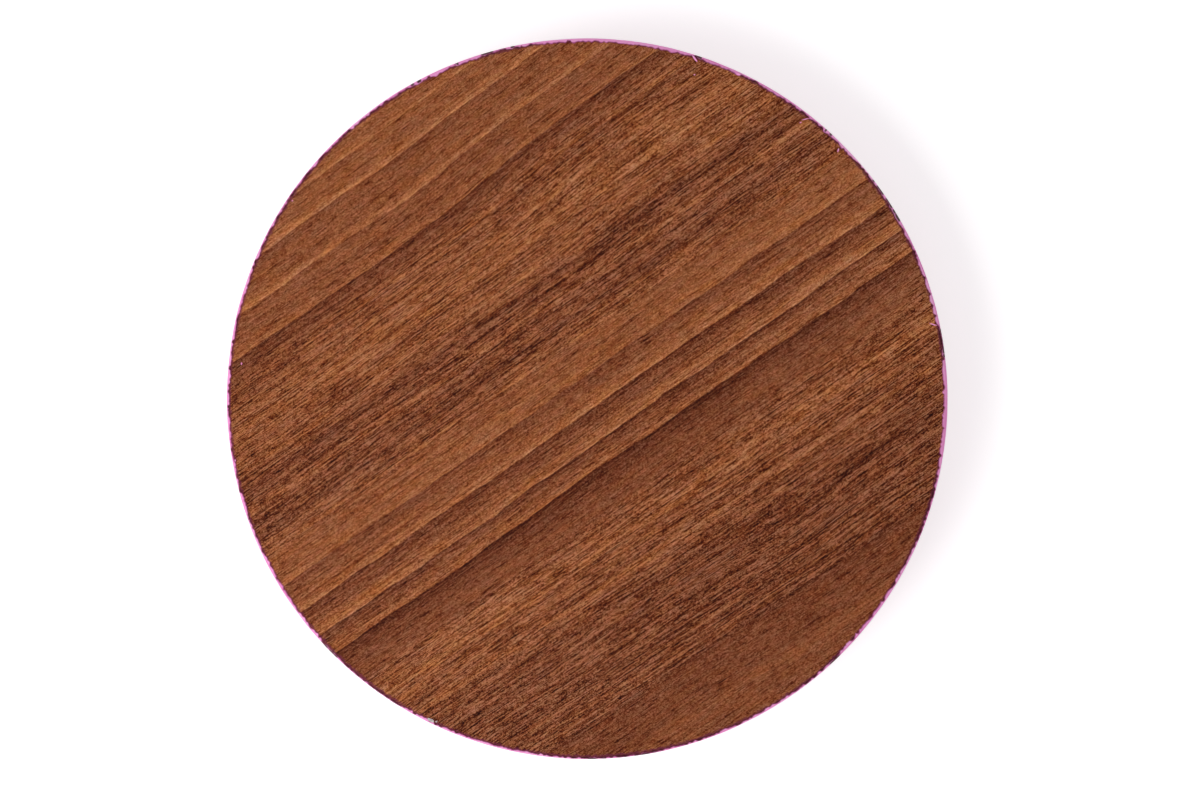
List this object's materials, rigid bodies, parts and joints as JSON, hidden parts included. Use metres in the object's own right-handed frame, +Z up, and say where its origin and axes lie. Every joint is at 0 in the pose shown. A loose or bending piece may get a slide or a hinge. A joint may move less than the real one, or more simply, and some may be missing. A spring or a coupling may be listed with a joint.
{
  "type": "rolling board",
  "caption": "Round rolling board for flatbreads: a walnut-print laminate on plywood, with a hand-painted rim, standing on turned wooden feet.",
  "frame": {"origin": "centre of the board, on the surface that its feet stand on", "axes": "+Z up, out of the rolling surface; +Y from the centre towards foot_1, +X to the right"},
  "size_m": [0.24, 0.24, 0.035],
  "materials": {
    "walnut_laminate": "suede-textured walnut-print laminate",
    "face_veneer": "sanded, unfinished",
    "core_veneer_long": "raw veneer, grain along X",
    "core_veneer_cross": "raw veneer, grain along Y",
    "edge_enamel": "brushed pink enamel",
    "turned_wood": "turned, thinly varnished",
    "screw_steel": "zinc plated"
  },
  "bodies": {
    "root": {"top_laminate": "walnut_laminate", "top_face_veneer": "face_veneer", "core_veneer_1": "core_veneer_cross", "core_veneer_2": "core_veneer_long", "core_veneer_3": "core_veneer_cross", "core_veneer_4": "core_veneer_long", "core_veneer_5": "core_veneer_cross", "core_veneer_6": "core_veneer_long", "core_veneer_7": "core_veneer_cross", "core_veneer_8": "core_veneer_long", "core_veneer_9": "core_veneer_cross", "core_veneer_10": "core_veneer_long", "core_veneer_11": "core_veneer_cross", "bottom_face_veneer": "face_veneer", "edge_paint": "edge_enamel", "foot_1": "turned_wood", "foot_2": "turned_wood", "foot_3": "turned_wood", "foot_screw_1": "screw_steel", "foot_screw_2": "screw_steel", "foot_screw_3": "screw_steel"}
  },
  "joints": []
}
